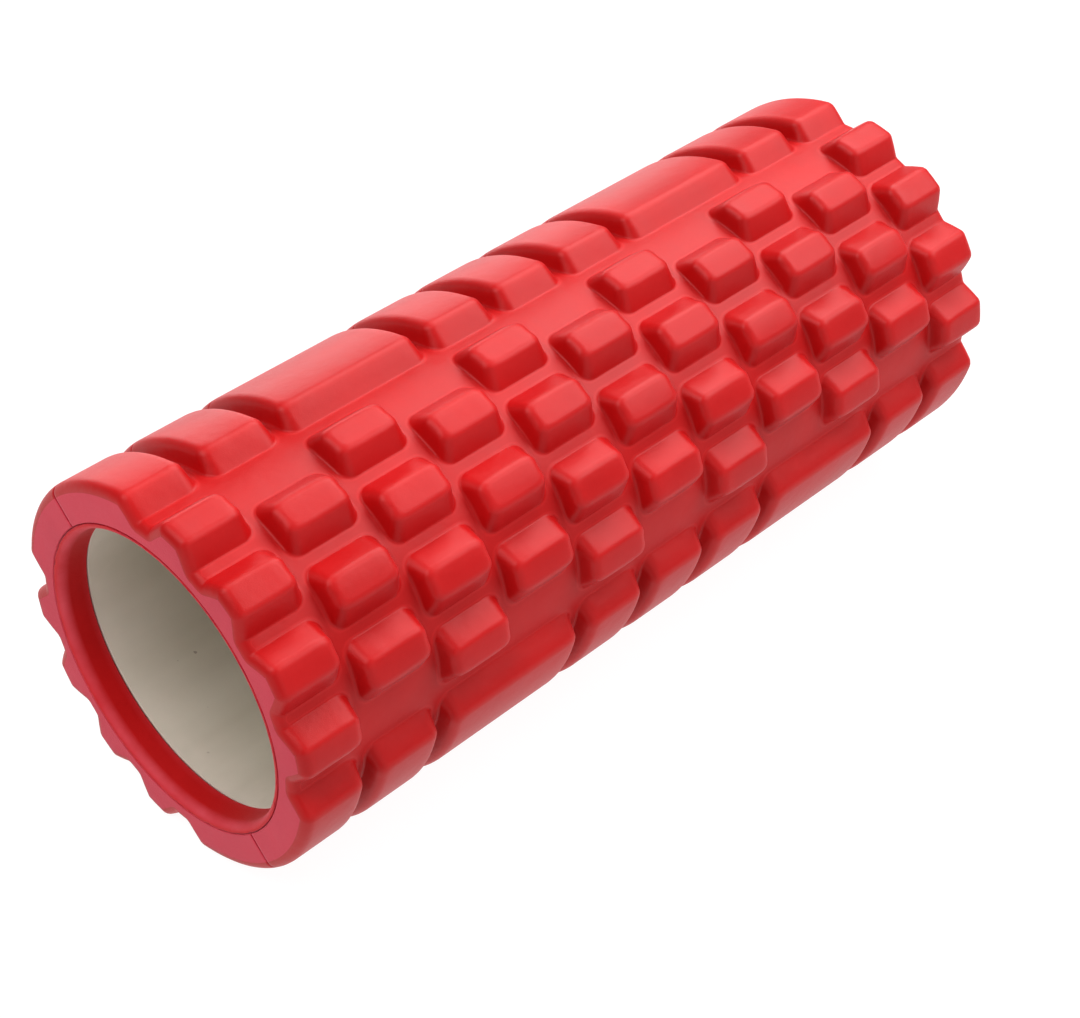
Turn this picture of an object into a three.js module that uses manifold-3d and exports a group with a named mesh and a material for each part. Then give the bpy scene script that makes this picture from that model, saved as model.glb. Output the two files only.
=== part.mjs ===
// Textured foam roller: two moulded foam half shells around a rigid tube, with a foam collar in each end.
// Units are millimetres. The roller lies along X with +Z up, and stands on the plane z = 0.
import * as THREE from 'three';
import { mergeVertices } from 'three/addons/utils/BufferGeometryUtils.js';
import Module from 'manifold-3d';

// Overall size.
const LENGTH = 340;
const TOP_RADIUS = 70; // over the pads
const BASE_RADIUS = 63; // the sleeve between the pads
const BORE_RADIUS = 56; // inside of the sleeve
const HALF = LENGTH / 2;

// Gap left between pieces that touch in the real object.
const GAP = 0.3;

// Core tube and the collars that cover its ends.
const CORE_OUTER = BORE_RADIUS - GAP;
const CORE_INNER = 53.3;
const COLLAR_INNER = 53;
const COLLAR_DEPTH = 11.5;
const COLLAR_LIP = 1.1; // size of the rounded front edge of a collar
const LIP_BEND = 0.3; // where the rounding bends, as a share of its size

// Pad layout: 11 columns along the roller, staggered, and a wide band along each seam.
const COLUMNS = 11;
const COLUMN_PITCH = 31.7;
const ROW_PITCH = 23.2; // degrees
const EVEN_ROWS = [-1.5, -0.5, 0.5, 1.5];
const ODD_ROWS = [-1, 0, 1];
// First and last column of each wide pad in a band.
const WIDE_PADS = [[0, 0], [1, 1], [2, 3], [4, 4], [5, 5], [6, 6], [7, 8], [9, 9], [10, 10]];

// How a pad's end wall rises: distance along the roller from the middle of its column, at a height.
const END_FOOT = [13.9, 62.4];
const END_SHOULDER = [12.5, 68.3];
const END_TOP = [10.8, 70];
// How a small pad's side wall rises: distance from the pad's middle, at a height.
const SIDE_FOOT = [10.6, 62];
const SIDE_SHOULDER = [6.2, 68.3];
const SIDE_TOP = [3.9, 69.9];
// A small pad's cut corners: distance of the cut from the pad's axis, at the foot and at the top.
const CORNER_FOOT = 20.5;
const CORNER_TOP = 14.7;
// How a wide pad's long side rises: degrees from the seam, at a radius.
const BAND_FOOT = [41.1, 63];
const BAND_SHOULDER = [36.8, 68.5];
const BAND_TOP = [34.4, 70];
// A wide pad's cut corners: how far the cut is from the foot's corner, and how it leans inwards.
const BAND_CORNER_CUT = 4;
const BAND_CORNER_LEAN = 0.97;

// Rounding of the end edges, as steps back from the end face and down from the outside.
const END_EDGE = [[0, 3], [1, 1.1], [3.2, 0]];

const SEGMENTS = 60; // flats round a full circle
const ROOT = 59; // the pads start here, inside the sleeve's wall
const BEYOND = 80; // further out than any surface
const CUTTER = 30; // size of the blocks that cut corners
const SECTOR_ROOT = 58; // a band's cutter starts here, a little under the pads
const SECTOR_FAR = [35, 91.8]; // the outer corner of a band's cutter, as [across, up]

// The turn to rest on the floor is looked for between these angles, in degrees, by halving.
const TURN_RANGE = [44, 50];
const TURN_HALVINGS = 30;

const wasm = await Module();
wasm.setup();
const { Manifold, Mesh } = wasm;
const rad = THREE.MathUtils.degToRad;

function solid(geometry) {
  const bare = geometry.index ? geometry.toNonIndexed() : geometry.clone();
  bare.deleteAttribute('normal');
  bare.deleteAttribute('uv');
  const merged = mergeVertices(bare, 1e-4);
  const vertProperties = new Float32Array(merged.attributes.position.array);
  const triVerts = new Uint32Array(merged.index.array);
  return new Manifold(new Mesh({ numProp: 3, vertProperties, triVerts }));
}

function geometryOf(manifold) {
  const mesh = manifold.getMesh();
  const geometry = new THREE.BufferGeometry();
  const points = new Float32Array(mesh.numVert * 3);
  for (let i = 0; i < mesh.numVert; i += 1) {
    for (let k = 0; k < 3; k += 1) {
      points[3 * i + k] = mesh.vertProperties[mesh.numProp * i + k];
    }
  }
  geometry.setAttribute('position', new THREE.BufferAttribute(points, 3));
  geometry.setIndex(Array.from(mesh.triVerts));
  return geometry;
}

// A solid of revolution about X from [x, radius] points listed anticlockwise.
function turned(profile) {
  const closed = [...profile, profile[0]].reverse();
  const points = closed.map(([x, radius]) => new THREE.Vector2(radius, x));
  const geometry = new THREE.LatheGeometry(points, SEGMENTS);
  geometry.rotateZ(-Math.PI / 2);
  return solid(geometry);
}

// A prism from [across, up] points, along one axis and centred on the origin.
function prism(outline, depth, alongX) {
  const shape = new THREE.Shape(outline.map(([across, up]) => new THREE.Vector2(across, up)));
  const geometry = new THREE.ExtrudeGeometry(shape, { depth, bevelEnabled: false });
  geometry.translate(0, 0, -depth / 2);
  geometry.rotateX(Math.PI / 2);
  if (alongX) {
    geometry.rotateZ(Math.PI / 2);
  }
  return solid(geometry);
}

// Both sides of an outline from its right-hand half, lowest point first.
function mirrored(half) {
  const left = half.map(([across, up]) => [-across, up]).reverse();
  return [...half, ...left];
}

// A point at an angle from the top and a radius, as [across, up].
function polar([degrees, radius]) {
  return [radius * Math.sin(rad(degrees)), radius * Math.cos(rad(degrees))];
}

function union(parts) {
  return Manifold.union(parts);
}

function columnAt(index) {
  return (index - (COLUMNS - 1) / 2) * COLUMN_PITCH;
}

// One small pad at the top of the roller, over the origin.
function smallPad() {
  const across = mirrored([[SIDE_FOOT[0], ROOT], SIDE_FOOT, SIDE_SHOULDER, SIDE_TOP]);
  const along = mirrored([[END_FOOT[0], ROOT], END_FOOT, END_SHOULDER, END_TOP]);
  const height = END_TOP[1] - END_FOOT[1];
  const slope = (CORNER_FOOT - CORNER_TOP) / height;
  const extra = END_FOOT[1] - ROOT;
  const low = CORNER_FOOT + slope * extra;
  const corners = new THREE.CylinderGeometry(CORNER_TOP, low, height + extra, 4);
  corners.rotateX(Math.PI / 2);
  corners.translate(0, 0, (ROOT + END_TOP[1]) / 2);
  return prism(across, 2 * BEYOND, true)
    .intersect(prism(along, 2 * BEYOND, false))
    .intersect(solid(corners));
}

// The block that cuts one corner of a wide pad, for the corner at +X on the side towards -Y.
function cornerBlock() {
  const normal = new THREE.Vector3(1, -1, BAND_CORNER_LEAN).normalize();
  const turn = new THREE.Quaternion().setFromUnitVectors(new THREE.Vector3(0, 0, 1), normal);
  const block = new THREE.BoxGeometry(CUTTER, CUTTER, CUTTER);
  block.translate(0, 0, CUTTER / 2);
  block.applyQuaternion(turn);
  block.translate(-BAND_CORNER_CUT, 0, BASE_RADIUS);
  return solid(block);
}

// All wide pads of one band, with the seam at the top of the roller.
function band() {
  const wall = [[BAND_FOOT[0], SECTOR_ROOT], BAND_FOOT, BAND_SHOULDER, BAND_TOP].map(polar);
  const sector = prism(mirrored([...wall, SECTOR_FAR]), 2 * LENGTH, true);
  const block = cornerBlock();
  const pads = WIDE_PADS.map(([first, last]) => {
    const start = columnAt(first);
    const end = columnAt(last);
    const rise = [END_FOOT, END_SHOULDER, END_TOP];
    const right = rise.map(([along, up]) => [end + along, up]);
    const left = rise.map(([along, up]) => [start - along, up]).reverse();
    const ring = turned([[start - END_FOOT[0], ROOT], [end + END_FOOT[0], ROOT], ...right, ...left]);
    const cuts = [];
    for (const side of [-1, 1]) {
      const atEnd = side < 0 ? block : block.mirror([0, 1, 0]);
      if (last < COLUMNS - 1) {
        cuts.push(atEnd.rotate([-side * BAND_FOOT[0], 0, 0]).translate([end + END_FOOT[0], 0, 0]));
      }
      if (first > 0) {
        cuts.push(atEnd.mirror([1, 0, 0]).rotate([-side * BAND_FOOT[0], 0, 0])
          .translate([start - END_FOOT[0], 0, 0]));
      }
    }
    return ring.intersect(sector).subtract(union(cuts));
  });
  return union(pads);
}

// All pads of the sleeve, with one zone of small pads at the top and the other at the bottom.
function pads() {
  const pad = smallPad();
  const wide = band();
  const parts = [];
  for (const turn of [0, 180]) {
    parts.push(wide.rotate([turn + 90, 0, 0]));
    for (let column = 0; column < COLUMNS; column += 1) {
      const rows = column % 2 === 0 ? EVEN_ROWS : ODD_ROWS;
      for (const row of rows) {
        parts.push(pad.rotate([turn + row * ROW_PITCH, 0, 0]).translate([columnAt(column), 0, 0]));
      }
    }
  }
  return union(parts);
}

// A profile from radius inner to outer over the whole length, with rounded outer end edges.
function endRounded(inner, outer) {
  const right = END_EDGE.map(([back, down]) => [HALF - back, outer - down]);
  const left = right.map(([x, radius]) => [-x, radius]).reverse();
  return [[-HALF, inner], [HALF, inner], ...right, ...left];
}

function sleeve() {
  const ring = turned(endRounded(BORE_RADIUS, BASE_RADIUS));
  const envelope = turned(endRounded(ROOT, TOP_RADIUS + GAP));
  return ring.add(pads().intersect(envelope));
}

// The half of the sleeve on the upper side (side 1) or the lower side (side -1) of the seams.
function sleeveHalf(whole, side) {
  const block = new THREE.BoxGeometry(2 * LENGTH, 2 * BEYOND, BEYOND);
  block.translate(0, 0, side * (BEYOND + GAP) / 2);
  return whole.intersect(solid(block));
}

function collar(end) {
  const face = HALF;
  const back = HALF - COLLAR_DEPTH;
  const profile = [[back, COLLAR_INNER], [face - COLLAR_LIP, COLLAR_INNER],
    [face - COLLAR_LIP * LIP_BEND, COLLAR_INNER + COLLAR_LIP * LIP_BEND], [face, COLLAR_INNER + COLLAR_LIP],
    [face, CORE_OUTER], [back, CORE_OUTER]];
  const ring = turned(profile);
  return end > 0 ? ring : ring.mirror([1, 0, 0]);
}

function coreTube() {
  const reach = HALF - COLLAR_DEPTH - GAP;
  return turned([[-reach, CORE_INNER], [reach, CORE_INNER], [reach, CORE_OUTER], [-reach, CORE_OUTER]]);
}

// The lowest points on each side of the vertical plane through the axis, as [depth at -Y, depth at +Y].
function feet(points, turn) {
  const depth = [0, 0];
  for (let i = 0; i < points.length; i += 3) {
    const y = points[i + 1] * Math.cos(rad(turn)) - points[i + 2] * Math.sin(rad(turn));
    const z = points[i + 1] * Math.sin(rad(turn)) + points[i + 2] * Math.cos(rad(turn));
    const side = y < 0 ? 0 : 1;
    depth[side] = Math.max(depth[side], -z);
  }
  return depth;
}

// The turn about X at which the roller stands on the edge of a wide band and on the next row of small pads.
function restingTurn(whole) {
  const points = geometryOf(whole).attributes.position.array;
  let [low, high] = TURN_RANGE;
  for (let step = 0; step < TURN_HALVINGS; step += 1) {
    const middle = (low + high) / 2;
    const [front, back] = feet(points, middle);
    if (front < back) {
      low = middle;
    } else {
      high = middle;
    }
  }
  return low;
}

function material(color, roughness) {
  return new THREE.MeshStandardMaterial({ color, roughness, metalness: 0 });
}

const whole = sleeve();
const turn = restingTurn(whole);
const height = Math.max(...feet(geometryOf(whole).attributes.position.array, turn));

function piece(name, manifold, color, roughness) {
  const placed = manifold.rotate([turn, 0, 0]).translate([0, 0, height]);
  const mesh = new THREE.Mesh(geometryOf(placed), material(color, roughness));
  mesh.name = name;
  return mesh;
}

const FOAM = 0xd8383c;
const COLLAR_FOAM = 0xb83038;
const TUBE = 0xc9bfa9;

const roller = new THREE.Group();
roller.name = 'foam_roller';
roller.add(piece('foam_shell_front', sleeveHalf(whole, 1), FOAM, 0.75));
roller.add(piece('foam_shell_back', sleeveHalf(whole, -1), FOAM, 0.75));
roller.add(piece('end_collar_left', collar(-1), COLLAR_FOAM, 0.8));
roller.add(piece('end_collar_right', collar(1), COLLAR_FOAM, 0.8));
roller.add(piece('core_tube', coreTube(), TUBE, 0.55));

export default roller;
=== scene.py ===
"""Looks of a textured foam roller: two moulded half shells, a foam collar in each end, and a plastic tube.

The scene is in metres with +Z up. Shapes are worked out in millimetres about the roller's own axis, and put
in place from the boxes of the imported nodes. A point of a shell is (x, turn, radius): along the roller,
degrees from the middle of the shell's zone of small pads, and distance from the axis. Within the cell of one
pad, x and w are measured from the pad's middle, along the roller and across it.
"""
import math

import bmesh
import bpy
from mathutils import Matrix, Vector, noise


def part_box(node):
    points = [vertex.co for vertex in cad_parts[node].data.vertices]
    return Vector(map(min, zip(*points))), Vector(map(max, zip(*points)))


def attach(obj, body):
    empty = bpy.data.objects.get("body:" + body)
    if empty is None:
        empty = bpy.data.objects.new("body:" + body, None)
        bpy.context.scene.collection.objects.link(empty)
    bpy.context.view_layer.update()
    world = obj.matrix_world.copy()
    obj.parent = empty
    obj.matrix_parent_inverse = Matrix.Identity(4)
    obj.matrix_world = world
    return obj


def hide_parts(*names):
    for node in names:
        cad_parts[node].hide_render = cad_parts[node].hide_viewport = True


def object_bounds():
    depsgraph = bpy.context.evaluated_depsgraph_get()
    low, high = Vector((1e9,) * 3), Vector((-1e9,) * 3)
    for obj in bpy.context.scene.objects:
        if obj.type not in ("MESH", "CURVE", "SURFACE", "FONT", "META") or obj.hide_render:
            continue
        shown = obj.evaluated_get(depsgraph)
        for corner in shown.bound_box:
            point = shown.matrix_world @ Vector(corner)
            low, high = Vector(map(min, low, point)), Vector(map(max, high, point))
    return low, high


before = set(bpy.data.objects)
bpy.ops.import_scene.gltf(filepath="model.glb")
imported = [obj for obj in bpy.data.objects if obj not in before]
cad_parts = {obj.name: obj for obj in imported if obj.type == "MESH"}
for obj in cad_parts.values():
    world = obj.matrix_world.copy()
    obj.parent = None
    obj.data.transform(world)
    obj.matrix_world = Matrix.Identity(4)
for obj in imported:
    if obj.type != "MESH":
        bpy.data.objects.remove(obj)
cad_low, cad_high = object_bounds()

MM = 0.001

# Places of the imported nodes, in millimetres.
tube_low, tube_high = (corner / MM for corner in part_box("core_tube"))
shell_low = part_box("foam_shell_front")[0] / MM
collar_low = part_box("end_collar_right")[0] / MM
AXIS_Z = (tube_low.z + tube_high.z) / 2
HALF = cad_high.x / MM
CORE_OUTER = (tube_high.y - tube_low.y) / 2
CORE_REACH = tube_high.x
COLLAR_BACK = collar_low.x

# Radii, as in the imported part.
TOP = 70.0
BASE = 63.0
BORE = 56.0
CORE_INNER = 53.3
COLLAR_INNER = 53.0
SEAM_GAP = 0.15  # from the plane of the seams to a shell's face

# The front shell's lowest edge lies on a seam, which gives the turn at which the roller rests.
TURN = math.degrees(math.asin((AXIS_Z - shell_low.z) / math.hypot(TOP, SEAM_GAP)) + math.atan(SEAM_GAP / TOP))

# Layout of the pads. Rows are counted from the middle of the zone of small pads.
COLUMNS = 11
PITCH = 31.7
ROW = 23.2  # degrees
EVEN_ROWS = (-1.5, -0.5, 0.5, 1.5)
ODD_ROWS = (-1, 0, 1)
# First and last column of each wide pad.
WIDE_PADS = ((0, 0), (1, 1), (2, 3), (4, 4), (5, 5), (6, 6), (7, 8), (9, 9), (10, 10))
ZONE = 2 * ROW  # the small pads' zone reaches this far to each side of its middle
SEAM = 90.0
PER_DEGREE = 1.1606  # millimetres across for one degree, half-way up a pad

# Rounding.
EDGE = 3.6  # along the top of a small pad, and round the ends of every pad
BAND_EDGE = 4.5  # along the top of the wide pads
FOOT = 1.0  # where a pad's wall meets the base
RIM = 0.7  # width of the line pressed round each pad
CORNER_TOP = 2.1  # a pad's upright corners at the top
CORNER_FOOT = 4.9  # and at the foot
CORNER_SWELL = 0.8  # how early they get wide on the way down: 1 is evenly
END_ROUND = 3.5  # round both end faces
SEAM_ROUND = 0.45
BORE_ROUND = 0.3

# Lines of the mesh.
EDGE_STEPS = 6
FOOT_STEPS = 3
END_STEPS = 6
SEAM_ANGLES = (45, 90)  # degrees round a seam's edge, after its first line
SEAM_POINTS = len(SEAM_ANGLES) + 1
FACE_SHARES = (0.35, 0.7, 1.0)  # of the way down an end face, for its rings
CORE_X = 4  # over the flat of a pad, along the roller
CORE_TURN = 2  # and across it
CORE_BAND = 20
OPEN_X = 6  # over the flat of a pad that runs out of the end
ROUND_SEGMENTS = 360  # round the collars and the tube

SAME_PLACE = 1e-6  # two places along the roller are one when they are closer than this
DECIMALS = 4  # points that agree to so many decimals are shared
MOULDED = 0  # numbers of a shell's two materials
CUT = 1
EDGE_GLUE = 1.0  # how much glue shows in the seams on the end faces
PAD_GLUE = 0.5  # and along the pads

# ---------------------------------------------------------------- walls and corners of a pad


def lerp(a, b, t):
    return a + (b - a) * t


def spread(low, high, count):
    return [lerp(low, high, k / count) for k in range(count + 1)]


def fillet(before, corner, after, radius, count):
    """The arc that rounds off a corner of a polyline, as count + 1 points."""
    (px, py), (cx, cy), (nx, ny) = before, corner, after
    ax, ay = px - cx, py - cy
    bx, by = nx - cx, ny - cy
    la, lb = math.hypot(ax, ay), math.hypot(bx, by)
    ax, ay, bx, by = ax / la, ay / la, bx / lb, by / lb
    half = math.acos(max(-1.0, min(1.0, ax * bx + ay * by))) / 2
    back = radius / math.tan(half)
    mx, my = ax + bx, ay + by
    length = math.hypot(mx, my)
    ox = cx + mx / length * radius / math.sin(half)
    oy = cy + my / length * radius / math.sin(half)
    start = math.atan2(cy + ay * back - oy, cx + ax * back - ox)
    end = math.atan2(cy + by * back - oy, cx + bx * back - ox)
    sweep = (end - start + math.pi) % (2 * math.pi) - math.pi
    angles = [start + sweep * k / count for k in range(count + 1)]
    return [(ox + radius * math.cos(angle), oy + radius * math.sin(angle)) for angle in angles]


def filleted(points, radii, steps):
    """A polyline whose inner corners are arcs. One more point halves each straight between two arcs."""
    out = [points[0]]
    for before, corner, after, radius, count in zip(points, points[1:], points[2:], radii, steps):
        arc = fillet(before, corner, after, radius, count)
        if len(out) > 1:
            out.append(((out[-1][0] + arc[0][0]) / 2, (out[-1][1] + arc[0][1]) / 2))
        out.extend(arc)
    out.append(points[-1])
    return out


def wall(flat, crest, foot, cell, edge=EDGE):
    """From a pad's flat top to the edge of its cell: (distance from the middle, radius) at each level."""
    corners = [(flat, TOP), (crest, TOP), (foot, BASE), (cell, BASE)]
    line = filleted(corners, (edge, FOOT), (EDGE_STEPS, FOOT_STEPS))
    return line[:-1] + [(line[-2][0] + RIM, BASE), line[-1]]


END_WALL = wall(flat=6.2, crest=12.1, foot=13.76, cell=PITCH / 2)
SIDE_WALL = wall(flat=0.8, crest=4.85, foot=11.2, cell=ROW / 2 * PER_DEGREE)
BAND_WALL = wall(flat=36.6, crest=41.4, foot=47.6, cell=(SEAM - ZONE) * PER_DEGREE, edge=BAND_EDGE)
LEVELS = len(END_WALL) - 1
FOOT_LEVEL = LEVELS - 2  # the last level of the rounding at a pad's foot


def corner_radius(radius):
    """Radius of a pad's upright corners at a distance from the axis."""
    depth = (TOP - radius) / (TOP - BASE)
    return CORNER_TOP + (CORNER_FOOT - CORNER_TOP) * depth ** CORNER_SWELL


CORNERS = [0.0] + [corner_radius(radius) for _, radius in END_WALL[1:]]


def along_corner(share, near, far, beside, radius):
    """A point on the way along one side of a corner and round half its arc: (along the side, across it)."""
    straight = far - radius - near
    path = share * (straight + radius * math.pi / 4)
    if path < straight:
        return near + path, beside
    angle = (path - straight) / radius
    return far - radius + radius * math.sin(angle), beside - radius + radius * math.cos(angle)


def corner_point(level, share, along, across):
    """A point of a pad's corner at a level, share 0 to 1 of the way from the end wall to the side wall."""
    near_x, near_w = along[0][0], across[0][0]
    far_x, far_w = along[level][0], across[level][0]
    radius = min(CORNERS[level], far_x - near_x, far_w - near_w)
    if share <= 0.5:
        w, x = along_corner(2 * share, near_w, far_w, far_x, radius)
    else:
        x, w = along_corner(2 * (1 - share), near_x, far_x, far_w, radius)
    return x, w, lerp(along[level][1], across[level][1], share)


class Axis:
    """The lines of one cell in one direction: wall levels, flat, wall levels. An open side has no wall."""

    def __init__(self, flat, bounds, profile, closed):
        self.flat, self.bounds, self.profile = flat, bounds, profile
        self.first = LEVELS if closed[0] else 0
        self.count = self.first + len(flat) + (LEVELS if closed[1] else 0)

    def at(self, index):
        """(side, level, place on the flat) of a line."""
        if index < self.first:
            return -1, self.first - index, self.flat[0]
        if index >= self.first + len(self.flat):
            return 1, index - self.first - len(self.flat) + 1, self.flat[-1]
        return 0, 0, self.flat[index - self.first]


def cell_point(columns, rows, i, j):
    """(x, w, radius, level) where two lines of a cell cross."""
    side_x, level_x, x = columns.at(i)
    side_w, level_w, w = rows.at(j)
    level = max(level_x, level_w)
    if level == LEVELS:
        return columns.bounds[i], rows.bounds[j], BASE, level
    if level_x and level_w:
        share = level_w / level_x / 2 if level_x >= level_w else 1 - level_x / level_w / 2
        away_x, away_w, radius = corner_point(level, share, columns.profile, rows.profile)
        return side_x * away_x, side_w * away_w, radius, level
    if level_x:
        away_x, radius = columns.profile[level]
        return side_x * away_x, w, radius, level
    if level_w:
        away_w, radius = rows.profile[level]
        return x, side_w * away_w, radius, level
    return x, w, TOP, level


def pad_cell(columns, rows):
    """Grid of points over one pad and the base round it."""
    return [[cell_point(columns, rows, i, j) for j in range(rows.count)] for i in range(columns.count)]


# ---------------------------------------------------------------- surface of a shell


class Surface:
    """Points that are shared where patches meet, what is stored with them, and the faces between them."""

    def __init__(self):
        self.points, self.levels, self.glue, self.index = [], [], [], {}
        self.faces, self.materials = [], []

    def point(self, x, turn, radius, level=LEVELS, glue=0.0):
        key = (round(x, DECIMALS), round(turn, DECIMALS), round(radius, DECIMALS))
        if key not in self.index:
            self.index[key] = len(self.points)
            self.points.append((x, turn, radius))
            self.levels.append(level / LEVELS)
            self.glue.append(glue)
        return self.index[key]

    def face(self, corners, material=MOULDED):
        corners = [c for k, c in enumerate(corners) if c != corners[k - 1]]
        if len(corners) > 2:
            self.faces.append(corners)
            self.materials.append(material)

    def patch(self, rows, material=MOULDED):
        for one, two in zip(rows, rows[1:]):
            for a, b, c, d in zip(one, one[1:], two[1:], two):
                self.face([a, b, c, d], material)


WALL_X = END_WALL[0][0]
ROW_LINES = 2 * LEVELS + CORE_TURN
OPEN_END = HALF - END_ROUND - (COLUMNS - 1) / 2 * PITCH  # from the last column's middle to the end's rounding


def column_bounds(first_open, last_open, span):
    """Where the lines of a cell over span columns meet the cells beside it. One end of it may be open."""
    if first_open:
        return [-x for x in reversed(column_bounds(False, True, span))]
    outside = [lerp(-PITCH / 2, -WALL_X, k / LEVELS) for k in range(LEVELS)]
    if last_open:
        return outside + spread(-WALL_X, OPEN_END, OPEN_X)
    one = outside + spread(-WALL_X, WALL_X, CORE_X) + [-x for x in reversed(outside)]
    lines = []
    for k in range(span):
        shift = (k - (span - 1) / 2) * PITCH
        lines += [x + shift for x in (one if k == 0 else one[1:])]
    return lines


def column_axis(first, last):
    """Lines along the roller for a pad that spans these columns, and where its middle is."""
    span = last - first + 1
    opened = first == 0, last == COLUMNS - 1
    closed = not opened[0], not opened[1]
    bounds = column_bounds(*opened, span)
    reach = (span - 1) / 2 * PITCH
    profile = [(x + reach, radius) for x, radius in END_WALL]
    low = -OPEN_END if opened[0] else -WALL_X - reach
    high = OPEN_END if opened[1] else WALL_X + reach
    flat = spread(low, high, len(bounds) - 1 - LEVELS * sum(closed))
    return Axis(flat, bounds, profile, closed), (last + first - COLUMNS + 1) / 2 * PITCH


def bare_base(surface, columns, middle):
    """The base between a column of three small pads and the wide pads to each side."""
    turns = spread(EVEN_ROWS[-1] * ROW, ZONE, ROW_LINES // 2)
    for side in (-1, 1):
        surface.patch([[surface.point(middle + x, side * turn, BASE) for turn in turns[::side]]
                       for x in columns.bounds])


def small_pads(surface):
    """All small pads of a shell, with the base round them."""
    flat, across = SIDE_WALL[0][0], SIDE_WALL[-1][0]
    rows = Axis(spread(-flat, flat, CORE_TURN), spread(-across, across, ROW_LINES), SIDE_WALL, (True, True))
    for column in range(COLUMNS):
        columns, middle = column_axis(column, column)
        grid = pad_cell(columns, rows)
        for row in (ODD_ROWS if column % 2 else EVEN_ROWS):
            surface.patch([[surface.point(middle + x, row * ROW + w / PER_DEGREE, radius, level)
                            for x, w, radius, level in line] for line in grid])
        if column % 2:
            bare_base(surface, columns, middle)


def seam_turn(radius, away):
    """Degrees at which a point at a radius is this far from the plane of the seams."""
    return math.degrees(math.acos(away / radius))


def wide_pads(surface):
    """The halves of the wide pads along both seams. Returns the points of the shell's two long edges."""
    flat, across = BAND_WALL[0][0], BAND_WALL[-1][0]
    rows = Axis(spread(0, flat, CORE_BAND), spread(0, across, CORE_BAND + LEVELS), BAND_WALL, (False, True))
    edges = {-1: [], 1: []}
    for first, last in WIDE_PADS:
        columns, middle = column_axis(first, last)
        grid = pad_cell(columns, rows)
        for side in (-1, 1):
            lines = []
            for line in grid:
                made = []
                for j, (x, w, radius, level) in enumerate(line):
                    turn = SEAM - w / PER_DEGREE if j else seam_turn(radius, SEAM_GAP + SEAM_ROUND)
                    made.append(surface.point(middle + x, side * turn, radius, level))
                edges[side].append(made[0])
                lines.append(made[::-side])
            surface.patch(lines)
    return edges


def offset(line, amount):
    """A 2-D polyline moved to its right by an amount."""
    out = []
    for k, (px, py) in enumerate(line):
        ax, ay = line[max(k - 1, 0)]
        bx, by = line[min(k + 1, len(line) - 1)]
        dx, dy = bx - ax, by - ay
        length = math.hypot(dx, dy)
        out.append((px + dy / length * amount, py - dx / length * amount))
    return out


def seam_rest(angle):
    """How much of a seam's rounding is still to come at an angle round it."""
    return SEAM_ROUND * (1 - math.sin(math.radians(angle)))


def seam_rims(surface, edges):
    """Rounds off the shell's two long edges. Returns the last line of each, which lies on the seam's face."""
    rims = {}
    for side, edge in edges.items():
        line = [k for n, k in enumerate(edge) if n == 0 or k != edge[n - 1]]
        profile = [(surface.points[k][0], surface.points[k][2]) for k in line]
        rows = [line]
        for angle in SEAM_ANGLES:
            away = SEAM_GAP + seam_rest(angle)
            moved = offset(profile, SEAM_ROUND * (1 - math.cos(math.radians(angle))))
            rows.append([surface.point(x, side * seam_turn(radius, away), radius, glue=PAD_GLUE)
                         for (x, _), (_, radius) in zip(profile, moved)])
        surface.patch(rows[::side])
        rims[side] = rows[-1]
    return rims


def flat_of(turn, radius):
    return radius * math.sin(math.radians(turn)), radius * math.cos(math.radians(turn))


def polar_of(across, up):
    return math.degrees(math.atan2(across, up)), math.hypot(across, up)


def beside_seam(radius, turn, old_radius):
    """The turn that keeps a point as far from the plane of the seams as it was at its old radius."""
    away = old_radius * math.cos(math.radians(turn))
    return math.copysign(seam_turn(radius, away), turn)


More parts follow.
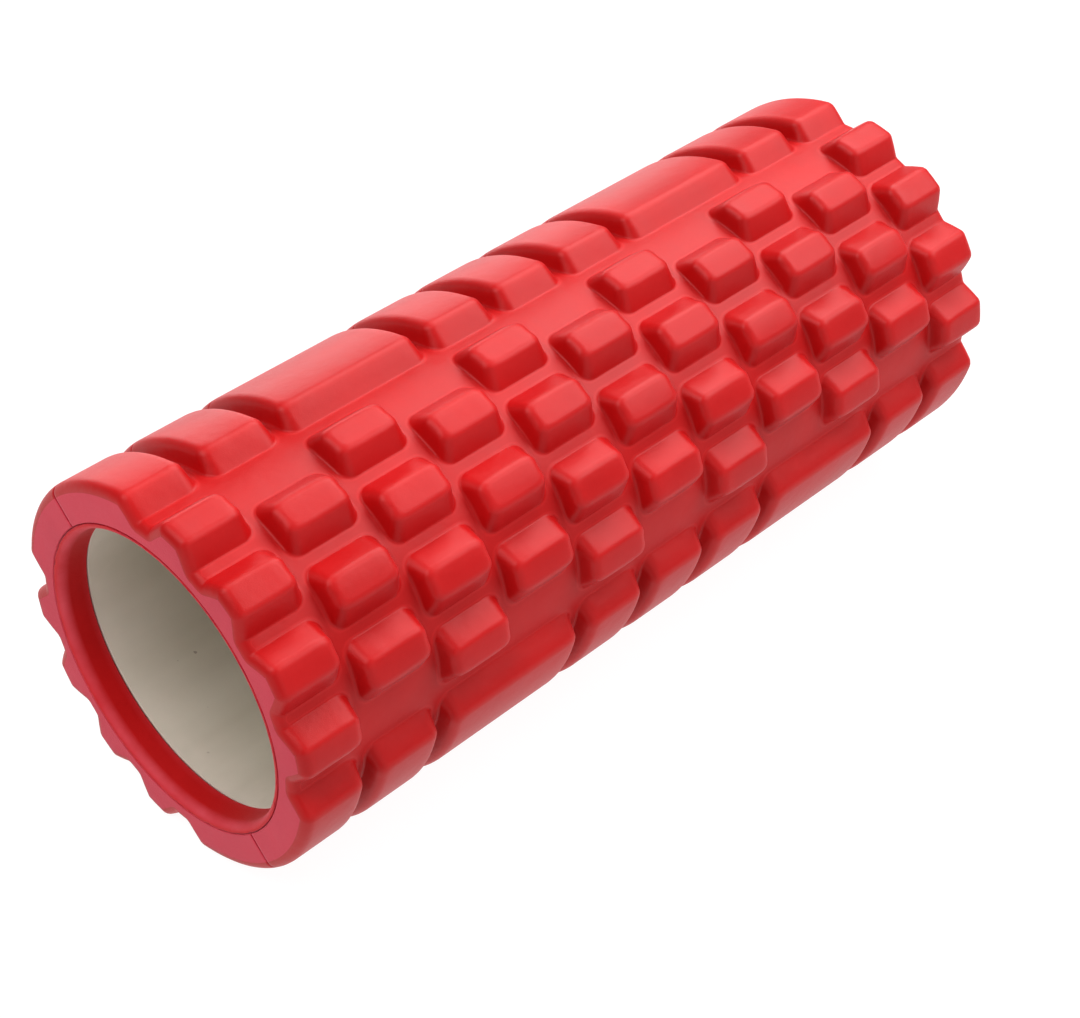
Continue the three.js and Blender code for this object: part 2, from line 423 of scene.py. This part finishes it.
class End:
    """One end of a shell, as rings of points: over its rounded edge, down its face and into the bore."""

    def __init__(self, surface, end):
        self.surface, self.end = surface, end
        self.start = end * (HALF - END_ROUND)
        ring = [k for k, (x, _, _) in enumerate(surface.points) if abs(x - self.start) < SAME_PLACE]
        ring.sort(key=lambda k: surface.points[k][1])
        self.turns = [surface.points[k][1] for k in ring]
        self.rings = [ring]
        from_seam = [min(k, len(ring) - 1 - k) for k in range(len(ring))]
        on_edge = [k < SEAM_POINTS - 1 for k in from_seam]
        self.at_seam = [k < SEAM_POINTS for k in from_seam]
        self.glue = [EDGE_GLUE if edge else 0.0 for edge in on_edge]
        # The seams' edges are rounded off on the end face too, by the same angles from the seam outwards.
        self.sunk = [seam_rest(SEAM_ANGLES[0] * k) if edge else 0.0 for k, edge in zip(from_seam, on_edge)]
        self.roll_over_edge()
        self.cross_face()
        self.turn_into_bore()
        surface.patch(self.rings[:END_STEPS + 1][::end])
        surface.patch(self.rings[END_STEPS:][::end], CUT)

    def roll_over_edge(self):
        places = [self.surface.points[k] for k in self.rings[0]]
        levels = [self.surface.levels[k] * LEVELS for k in self.rings[0]]
        profile = [flat_of(turn, radius) for _, turn, radius in places]
        for step in range(1, END_STEPS + 1):
            angle = math.radians(90 * step / END_STEPS)
            inset = END_ROUND * (1 - math.cos(angle))
            made = []
            for k, moved in enumerate(offset(profile, inset)):
                turn, radius = polar_of(*moved)
                if self.at_seam[k]:
                    outside = math.hypot(*profile[k])
                    radius = outside - inset
                    turn = beside_seam(radius, self.turns[k], outside)
                x = self.start + self.end * (END_ROUND - self.sunk[k]) * math.sin(angle)
                level = levels[k] * (1 - step / END_STEPS)
                made.append(self.surface.point(x, turn, radius, level, self.glue[k]))
            self.rings.append(made)

    def cross_face(self):
        places = [self.surface.points[k] for k in self.rings[-1]]
        for share in FACE_SHARES:
            made = []
            for k, (x, turn, radius) in enumerate(places):
                now = lerp(radius, BORE + BORE_ROUND, share)
                if self.at_seam[k]:
                    turn = beside_seam(now, turn, radius)
                else:
                    turn = lerp(turn, self.turns[k], share)
                made.append(self.surface.point(x, turn, now, glue=self.glue[k]))
            self.rings.append(made)

    def turn_into_bore(self):
        made = []
        for k, number in enumerate(self.rings[-1]):
            x, turn, radius = self.surface.points[number]
            if self.at_seam[k]:
                turn = beside_seam(BORE, turn, radius)
            made.append(self.surface.point(x - self.end * BORE_ROUND, turn, BORE))
        self.rings.append(made)

    def outline(self, side):
        """The points of the end on the seam face of one side."""
        return [ring[0 if side < 0 else -1] for ring in self.rings]


def shell_surface():
    """A whole shell as a closed surface: moulded side, rounded seams and ends, seam faces and bore."""
    surface = Surface()
    small_pads(surface)
    rims = seam_rims(surface, wide_pads(surface))
    left = End(surface, -1)
    right = End(surface, 1)
    surface.patch([right.rings[-1], left.rings[-1]], CUT)
    for side in (-1, 1):
        outline = rims[side] + right.outline(side)[1:] + left.outline(side)[:0:-1]
        surface.face(outline[::side], CUT)
    return surface


# ---------------------------------------------------------------- meshes

SHARP = math.radians(40)  # edges sharper than this aren't shaded smooth


def placed(x, turn, radius):
    """A point of the roller in the scene."""
    angle = math.radians(turn)
    return Vector((x, -radius * math.sin(angle), AXIS_Z + radius * math.cos(angle))) * MM


def turned(section, waver=None):
    """Points and faces of a ring about the roller's axis, from the (x, radius) points round its section.

    waver gives the change of one point's radius: it takes the point's number in the section, and the turn.
    """
    points = []
    for s in range(ROUND_SEGMENTS):
        turn = 360 * s / ROUND_SEGMENTS
        for k, (x, radius) in enumerate(section):
            points.append(placed(x, turn, radius + (waver(k, turn) if waver else 0)))
    count = len(section)
    faces = []
    for s in range(ROUND_SEGMENTS):
        one = s * count
        two = (s + 1) % ROUND_SEGMENTS * count
        for k in range(count):
            after = (k + 1) % count
            faces.append([one + k, one + after, two + after, two + k])
    return points, faces


def build(name, points, faces, materials, indices=None):
    """A mesh object, smooth but for its sharp edges. indices gives the number of each face's material."""
    mesh = bpy.data.meshes.new(name)
    bm = bmesh.new()
    made = [bm.verts.new(p) for p in points]
    for k, corners in enumerate(faces):
        face = bm.faces.new([made[c] for c in corners])
        face.smooth = True
        face.material_index = indices[k] if indices else 0
    bmesh.ops.recalc_face_normals(bm, faces=bm.faces)
    for edge in bm.edges:
        if edge.calc_face_angle(0) > SHARP:
            edge.smooth = False
    bm.to_mesh(mesh)
    bm.free()
    for material in materials:
        mesh.materials.append(material)
    obj = bpy.data.objects.new(name, mesh)
    bpy.context.scene.collection.objects.link(obj)
    return obj


def store(obj, name, values):
    """Keeps one number for each point of a mesh, for the material to read."""
    attribute = obj.data.attributes.new(name, "FLOAT", "POINT")
    attribute.data.foreach_set("value", values)


# ---------------------------------------------------------------- materials

# Noises, as scale, detail and roughness.
CLOUDS = (22, 4, 0.6)  # slow changes of a foam's colour and roughness
SPECKLE = (900, 2, 0.5)
DENTS = (130, 2, 0.5)
EDGE_BREAKUP = (60, 3, 0.6)  # breaks up rubbed edges, and the painted highlight on the collars' lips
BEADS = (140, 2, 0.6)  # of glue
BANDS = (30, 3, 0.55)  # drawn into the tube as it was made
SPECKS = (330, 1, 0.4)
DRAWN = (400, 2, 0.5)  # fine lines in the tube
GRAIN_DETAIL = (3, 0.6)  # of a foam's grain, whose scale is its own
ALONG_BANDS = (0.05, 1, 1)  # stretches the bands along the roller
ALONG_DRAWN = (0.02, 1, 1)

SPECKLE_SHARE = 0.12
ROUGHNESS_SPREAD = 0.06
DENT_DEPTH = 0.0006  # metres, as are the next two
GRAIN_DEPTH = 0.0002
DRAWN_DEPTH = 0.0003
DENT_STRENGTH = 0.3
DRAWN_STRENGTH = 0.15
SHEEN_TINT = (1.0, 0.85, 0.95, 1)
GLUE = (0.40, 0.001, 0.02)
TUBE_SHADES = ((0.35, (0.60, 0.57, 0.475)), (0.65, (0.70, 0.67, 0.575)))
TUBE_SPECK = (0.20, 0.14, 0.10)
TUBE_RIM = (0.80, 0.74, 0.66)

# How much paler the foam is at each level of a pad's wall: along the rubbed crest, and on the line at the
# foot, where the paleness is a painted highlight of that line catching the light.
PAD_WEAR_AND_HIGHLIGHT = ((0.0, 0.0), (1.5, 0.05), (4.0, 0.08), (6.5, 0.05), (8.0, 0.0),
            (FOOT_LEVEL - 0.6, 0.0), (FOOT_LEVEL + 0.4, 0.14), (FOOT_LEVEL + 1.12, 0.0))


def grey(value):
    return value, value, value


class Paint:
    """A material made of nodes, with short ways to add them and to feed them to its shader."""

    def __init__(self, name):
        self.material = bpy.data.materials.new(name)
        self.material.use_nodes = True
        self.nodes, self.links = self.material.node_tree.nodes, self.material.node_tree.links
        self.shader = self.nodes["Principled BSDF"]

    def add(self, kind, **values):
        made = self.nodes.new(kind)
        for key, value in values.items():
            setattr(made, key, value)
        return made

    def noise(self, kind, stretch=(1, 1, 1)):
        scale, detail, roughness = kind
        place = self.add("ShaderNodeTexCoord")
        mapping = self.add("ShaderNodeMapping")
        mapping.inputs["Scale"].default_value = stretch
        self.links.new(place.outputs["Object"], mapping.inputs["Vector"])
        made = self.add("ShaderNodeTexNoise")
        made.inputs["Scale"].default_value = scale
        made.inputs["Detail"].default_value = detail
        made.inputs["Roughness"].default_value = roughness
        self.links.new(mapping.outputs["Vector"], made.inputs["Vector"])
        return made.outputs["Fac"]

    def stored(self, name):
        return self.add("ShaderNodeAttribute", attribute_name=name).outputs["Fac"]

    def ramp(self, source, stops):
        made = self.add("ShaderNodeValToRGB")
        elements = made.color_ramp.elements
        while len(elements) < len(stops):
            elements.new(0.5)
        for element, (place, colour) in zip(elements, stops):
            element.position = place
            element.color = (*colour, 1)
        self.links.new(source, made.inputs["Fac"])
        return made.outputs["Color"]

    def mix(self, factor, one, two):
        made = self.add("ShaderNodeMix", data_type="RGBA")
        for socket, value in zip((made.inputs["Factor"], made.inputs[6], made.inputs[7]), (factor, one, two)):
            if isinstance(value, bpy.types.NodeSocket):
                self.links.new(value, socket)
            elif isinstance(value, tuple):
                socket.default_value = (*value, 1)
            else:
                socket.default_value = value
        return made.outputs[2]

    def times(self, one, two):
        made = self.add("ShaderNodeMath", operation="MULTIPLY")
        self.links.new(one, made.inputs[0])
        self.links.new(two, made.inputs[1])
        return made.outputs["Value"]

    def between(self, source, low, high):
        made = self.add("ShaderNodeMapRange")
        self.links.new(source, made.inputs["Value"])
        made.inputs["To Min"].default_value = low
        made.inputs["To Max"].default_value = high
        return made.outputs["Result"]

    def bump(self, height, strength, depth, under=None):
        made = self.add("ShaderNodeBump")
        made.inputs["Strength"].default_value = strength
        made.inputs["Distance"].default_value = depth
        self.links.new(height, made.inputs["Height"])
        if under:
            self.links.new(under, made.inputs["Normal"])
        return made.outputs["Normal"]

    def use(self, source, name):
        self.links.new(source, self.shader.inputs[name])

    def fix(self, name, value):
        self.shader.inputs[name].default_value = value


def pad_wear_and_highlight(paint):
    """Paler along the tops' edges, where the roller is rubbed, and a painted highlight on the line round each
    pad's foot.
    """
    return paint.ramp(paint.stored("level"), [(level / LEVELS, grey(value)) for level, value in PAD_WEAR_AND_HIGHLIGHT])


def edge_wear_and_highlight(paint):
    """Paler where the stored edge value is high, broken up by noise: rubbed edges, and a painted highlight on
    the collars' lips.
    """
    return paint.times(paint.stored("edge"), paint.noise(EDGE_BREAKUP))


def glue_line(paint):
    """The glue in the seams: where the stored glue value is high, thicker in some places than in others."""
    beads = paint.ramp(paint.noise(BEADS), ((0.38, grey(0.35)), (0.62, grey(0.95))))
    return paint.times(paint.stored("glue"), beads)


def foam(name, deep, fresh, rough, grain, grain_scale, sheen, gloss, wear_and_highlight=None, worn_and_lit=None):
    """Foam with uneven colour, shallow dents and a fine grain, and glue in its seams.

    deep and fresh are the two ends of its colour, rough and gloss its roughness and specular level, and grain
    the strength of the grain. The last two arguments are a function that makes a factor from 0 to 1 and the
    paler
    colour that it mixes in: rubbed places, and a painted highlight on the pads' foot lines and the collars'
    lips.
    """
    paint = Paint(name)
    clouds = paint.noise(CLOUDS)
    speckle = paint.ramp(paint.noise(SPECKLE), ((0.35, deep), (0.65, fresh)))
    base = paint.mix(SPECKLE_SHARE, paint.ramp(clouds, ((0.3, deep), (0.7, fresh))), speckle)
    # Paler where rubbed, and a painted highlight on the pads' foot lines and the collars' lips.
    if wear_and_highlight:
        base = paint.mix(wear_and_highlight(paint), base, worn_and_lit)
    paint.use(paint.mix(glue_line(paint), base, GLUE), "Base Color")
    paint.use(paint.between(clouds, rough - ROUGHNESS_SPREAD, rough + ROUGHNESS_SPREAD), "Roughness")
    dents = paint.bump(paint.noise(DENTS), DENT_STRENGTH, DENT_DEPTH)
    cells = paint.noise((grain_scale, *GRAIN_DETAIL))
    paint.use(paint.bump(cells, grain, GRAIN_DEPTH, dents), "Normal")
    paint.fix("Sheen Weight", sheen)
    paint.fix("Sheen Roughness", 0.4)
    paint.fix("Sheen Tint", SHEEN_TINT)
    paint.fix("Specular IOR Level", gloss)
    return paint.material


def drawn_plastic(name):
    """Off-white plastic with faint bands and fine lines along the roller, a few dark specks and pale rims."""
    paint = Paint(name)
    base = paint.ramp(paint.noise(BANDS, ALONG_BANDS), TUBE_SHADES)
    specks = paint.ramp(paint.noise(SPECKS), ((0.80, grey(0.0)), (0.82, grey(0.5))))
    base = paint.mix(specks, base, TUBE_SPECK)
    paint.use(paint.mix(edge_wear_and_highlight(paint), base, TUBE_RIM), "Base Color")
    paint.fix("Roughness", 0.42)
    paint.use(paint.bump(paint.noise(DRAWN, ALONG_DRAWN), DRAWN_STRENGTH, DRAWN_DEPTH), "Normal")
    return paint.material


# The skin is paler on the rubbed crests, and has a painted highlight on the line round each pad's foot.
skin = foam("foam_skin", deep=(0.405, 0.001, 0.0015), fresh=(0.485, 0.002, 0.003), rough=0.42, grain=0.25,
            grain_scale=2600, sheen=0.06, gloss=0.35, wear_and_highlight=pad_wear_and_highlight, worn_and_lit=(0.75, 0.05, 0.05))
cut_foam = foam("foam_cut", deep=(0.55, 0.060, 0.088), fresh=(0.63, 0.072, 0.102), rough=0.9, grain=0.7,
                grain_scale=1500, sheen=0.25, gloss=0.15)
# The collar is paler on its rubbed edges, and has a painted highlight on its lip.
collar_foam = foam("foam_collar", deep=(0.50, 0.003, 0.004), fresh=(0.58, 0.006, 0.008), rough=0.6, grain=0.4,
                   grain_scale=1800, sheen=0.12, gloss=0.25, wear_and_highlight=edge_wear_and_highlight, worn_and_lit=(0.74, 0.12, 0.16))
core_plastic = drawn_plastic("core_plastic")

# ---------------------------------------------------------------- shells

shape = shell_surface()
for name, node_name, turn in (("shell_front", "foam_shell_front", TURN),
                              ("shell_back", "foam_shell_back", TURN + 180)):
    points = [placed(x, turn + t, radius) for x, t, radius in shape.points]
    piece = build(name, points, shape.faces, (skin, cut_foam), shape.materials)
    store(piece, "level", shape.levels)
    store(piece, "glue", shape.glue)
    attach(piece, "root")
    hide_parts(node_name)

# ---------------------------------------------------------------- collars

LIP = 2.2  # rounding of a collar's outer edge, across the foam
LIP_DEEP = 4.2  # and into the bore
LIP_STEPS = 10
COLLAR_GAP = 0.12  # between a collar and the shells
COLLAR_OUTER = BORE - COLLAR_GAP
COLLAR_LINES = (0.25, 0.5)  # lines inside a collar, as shares of the way to its front
COLLAR_BACK_ROUND = 0.5  # small roundings of a collar's back, inside and outside
COLLAR_BACK_EDGE = 0.3
COLLAR_RIM = (0.45, 0.25)  # of its front edge against the shells, along the roller and across
COLLAR_TRIM = 0.5  # how far that edge strays at most, where it was trimmed by hand
COLLAR_WORN = 0.3  # how pale its small rubbed edges are, next to 1 for the lip, which is rubbed and has a painted highlight
TRIM_WAVES = 17.0
TRIM_HEIGHT = 2.2  # how much of the noise is stretched into the trim
TRIM_APART = 0.37  # sets the two collars' noises apart


def collar_section():
    """Points round a collar's section: (x, radius, how pale, how much glue shows). The rim is third last.
    The lip's paleness is rubbing and a painted highlight; the small edges are only rubbed.
    """
    out = [(COLLAR_BACK, COLLAR_OUTER - COLLAR_BACK_EDGE, 0, 0.0),
           (COLLAR_BACK, COLLAR_INNER + COLLAR_BACK_ROUND, COLLAR_WORN, 0.0),
           (COLLAR_BACK + COLLAR_BACK_ROUND, COLLAR_INNER, COLLAR_WORN, 0.0)]
    out += [(lerp(COLLAR_BACK, HALF, share), COLLAR_INNER, 0, 0.0) for share in COLLAR_LINES]
    # Round the lip, palest half-way: rubbing and a painted highlight.
    for k in range(LIP_STEPS + 1):
        angle = math.radians(90 * k / LIP_STEPS)
        x = HALF - LIP_DEEP * (1 - math.sin(angle))
        radius = COLLAR_INNER + LIP * (1 - math.cos(angle))
        out.append((x, radius, math.sin(math.radians(180 * k / LIP_STEPS)), 0.0))
    out += [(HALF, COLLAR_OUTER - COLLAR_RIM[1], COLLAR_WORN, EDGE_GLUE),
            (HALF - COLLAR_RIM[0], COLLAR_OUTER, 0, EDGE_GLUE),
            (COLLAR_BACK + COLLAR_BACK_EDGE, COLLAR_OUTER, 0, 0.0)]
    return out


section = collar_section()
rim = len(section) - 3


def trim(turn, end):
    """How much of a collar's rim is trimmed away at a turn."""
    angle = math.radians(turn)
    place = Vector((math.cos(angle), math.sin(angle), TRIM_APART * end)) * TRIM_WAVES
    return COLLAR_TRIM * min(1.0, max(0.0, TRIM_HEIGHT * noise.noise(place)))


for end, name, node_name in ((-1, "collar_left", "end_collar_left"), (1, "collar_right", "end_collar_right")):
    points, faces = turned([(end * x, radius) for x, radius, _, _ in section],
                           lambda k, turn: -trim(turn, end) if k == rim else 0)
    piece = build(name, points, faces, (collar_foam,))
    # How pale each point is: rubbed small edges, and a painted highlight with rubbing on the lip.
    store(piece, "edge", [worn_and_lit for _, _, worn_and_lit, _ in section] * ROUND_SEGMENTS)
    store(piece, "glue", [glue for _, _, _, glue in section] * ROUND_SEGMENTS)
    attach(piece, "root")
    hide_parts(node_name)

# ---------------------------------------------------------------- core tube

CHAMFER = 0.3  # of the tube's ends
CORE_PARTS = 12  # of the tube's length

inside = [(x, CORE_INNER) for x in spread(-CORE_REACH, CORE_REACH, CORE_PARTS)[1:-1]]
section = [(-CORE_REACH + CHAMFER, CORE_INNER), *inside, (CORE_REACH - CHAMFER, CORE_INNER),
           (CORE_REACH, CORE_INNER + CHAMFER), (CORE_REACH, CORE_OUTER - CHAMFER),
           (CORE_REACH - CHAMFER, CORE_OUTER), (-CORE_REACH + CHAMFER, CORE_OUTER),
           (-CORE_REACH, CORE_OUTER - CHAMFER), (-CORE_REACH, CORE_INNER + CHAMFER)]
points, faces = turned(section)
piece = build("core", points, faces, (core_plastic,))
store(piece, "edge", [float(abs(x) >= CORE_REACH - CHAMFER) for x, _ in section] * ROUND_SEGMENTS)
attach(piece, "root")
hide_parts("core_tube")

# ---------------------------------------------------------------- floor

FLOOR_SIZE = 30.0  # metres from the middle to an edge
FLOOR_CORNERS = ((-1, -1), (1, -1), (1, 1), (-1, 1))

paper = Paint("floor_paper")
paper.fix("Base Color", (0.10, 0.10, 0.10, 1))
paper.fix("Roughness", 0.9)
paper.fix("Specular IOR Level", 0.0)
paper.fix("Emission Color", (1, 1, 1, 1))
paper.fix("Emission Strength", 0.95)
floor = build("floor", [Vector((x, y, 0)) * FLOOR_SIZE for x, y in FLOOR_CORNERS], [[0, 1, 2, 3]],
              (paper.material,))

# ---------------------------------------------------------------- light

CONTRAST = 0.85  # gamma of the view: below 1 darkens the middle tones
WORLD_LIGHT = 0.24
# Softboxes: place from the middle of the roller, size and power, in metres and watts.
SOFTBOXES = (
    ("softbox_top", (0.88, 0.35, 1.22), 1.0, 18),
    ("softbox_side", (0.92, -0.68, 1.08), 1.0, 17),
    ("softbox_back", (0.65, 1.5, 0.3), 1.2, 11),
    ("softbox_front", (-0.2, -1.4, 0.5), 1.2, 4.3),
    ("softbox_end", (-1.2, -0.3, 0.2), 0.8, 1.3),
    ("softbox_left", (-0.7, 0.1, 1.3), 1.1, 14),
)

scene = bpy.context.scene
scene.view_settings.view_transform = "Standard"
scene.view_settings.gamma = CONTRAST
world = bpy.data.worlds.new("studio")
scene.world = world
world.use_nodes = True
background = world.node_tree.nodes["Background"]
background.inputs["Color"].default_value = (1, 1, 1, 1)
background.inputs["Strength"].default_value = WORLD_LIGHT


def softbox(name, place, target, size, power):
    """A square lamp that faces a target."""
    light = bpy.data.lights.new(name, "AREA")
    light.shape = "SQUARE"
    light.size = size
    light.energy = power
    obj = bpy.data.objects.new(name, light)
    obj.location = place
    obj.rotation_euler = (target - place).to_track_quat("-Z", "Y").to_euler()
    scene.collection.objects.link(obj)


middle = (cad_low + cad_high) / 2
for name, away, size, power in SOFTBOXES:
    softbox(name, middle + Vector(away), middle, size, power)

# ---------------------------------------------------------------- camera

CAMERA_AWAY = (-0.45637, -0.44815, 0.48864)  # metres from the middle of the roller's axis
CAMERA_AZIMUTH = 44.47  # degrees from +X towards +Y, the way it looks
CAMERA_TILT = 38.93  # degrees below the horizon
CAMERA_LENS = 75.13  # millimetres
CAMERA_SENSOR = 36

camera_data = bpy.data.cameras.new("camera")
camera = bpy.data.objects.new("camera", camera_data)
scene.collection.objects.link(camera)
azimuth, tilt = math.radians(CAMERA_AZIMUTH), math.radians(CAMERA_TILT)
forward = Vector((math.cos(tilt) * math.cos(azimuth), math.cos(tilt) * math.sin(azimuth), -math.sin(tilt)))
camera.location = Vector((0, 0, AXIS_Z * MM)) + Vector(CAMERA_AWAY)
camera.rotation_euler = forward.to_track_quat("-Z", "Y").to_euler()
camera_data.lens = CAMERA_LENS
camera_data.sensor_width = CAMERA_SENSOR
camera_data.clip_start = 0.05
camera_data.clip_end = 20
scene.camera = camera
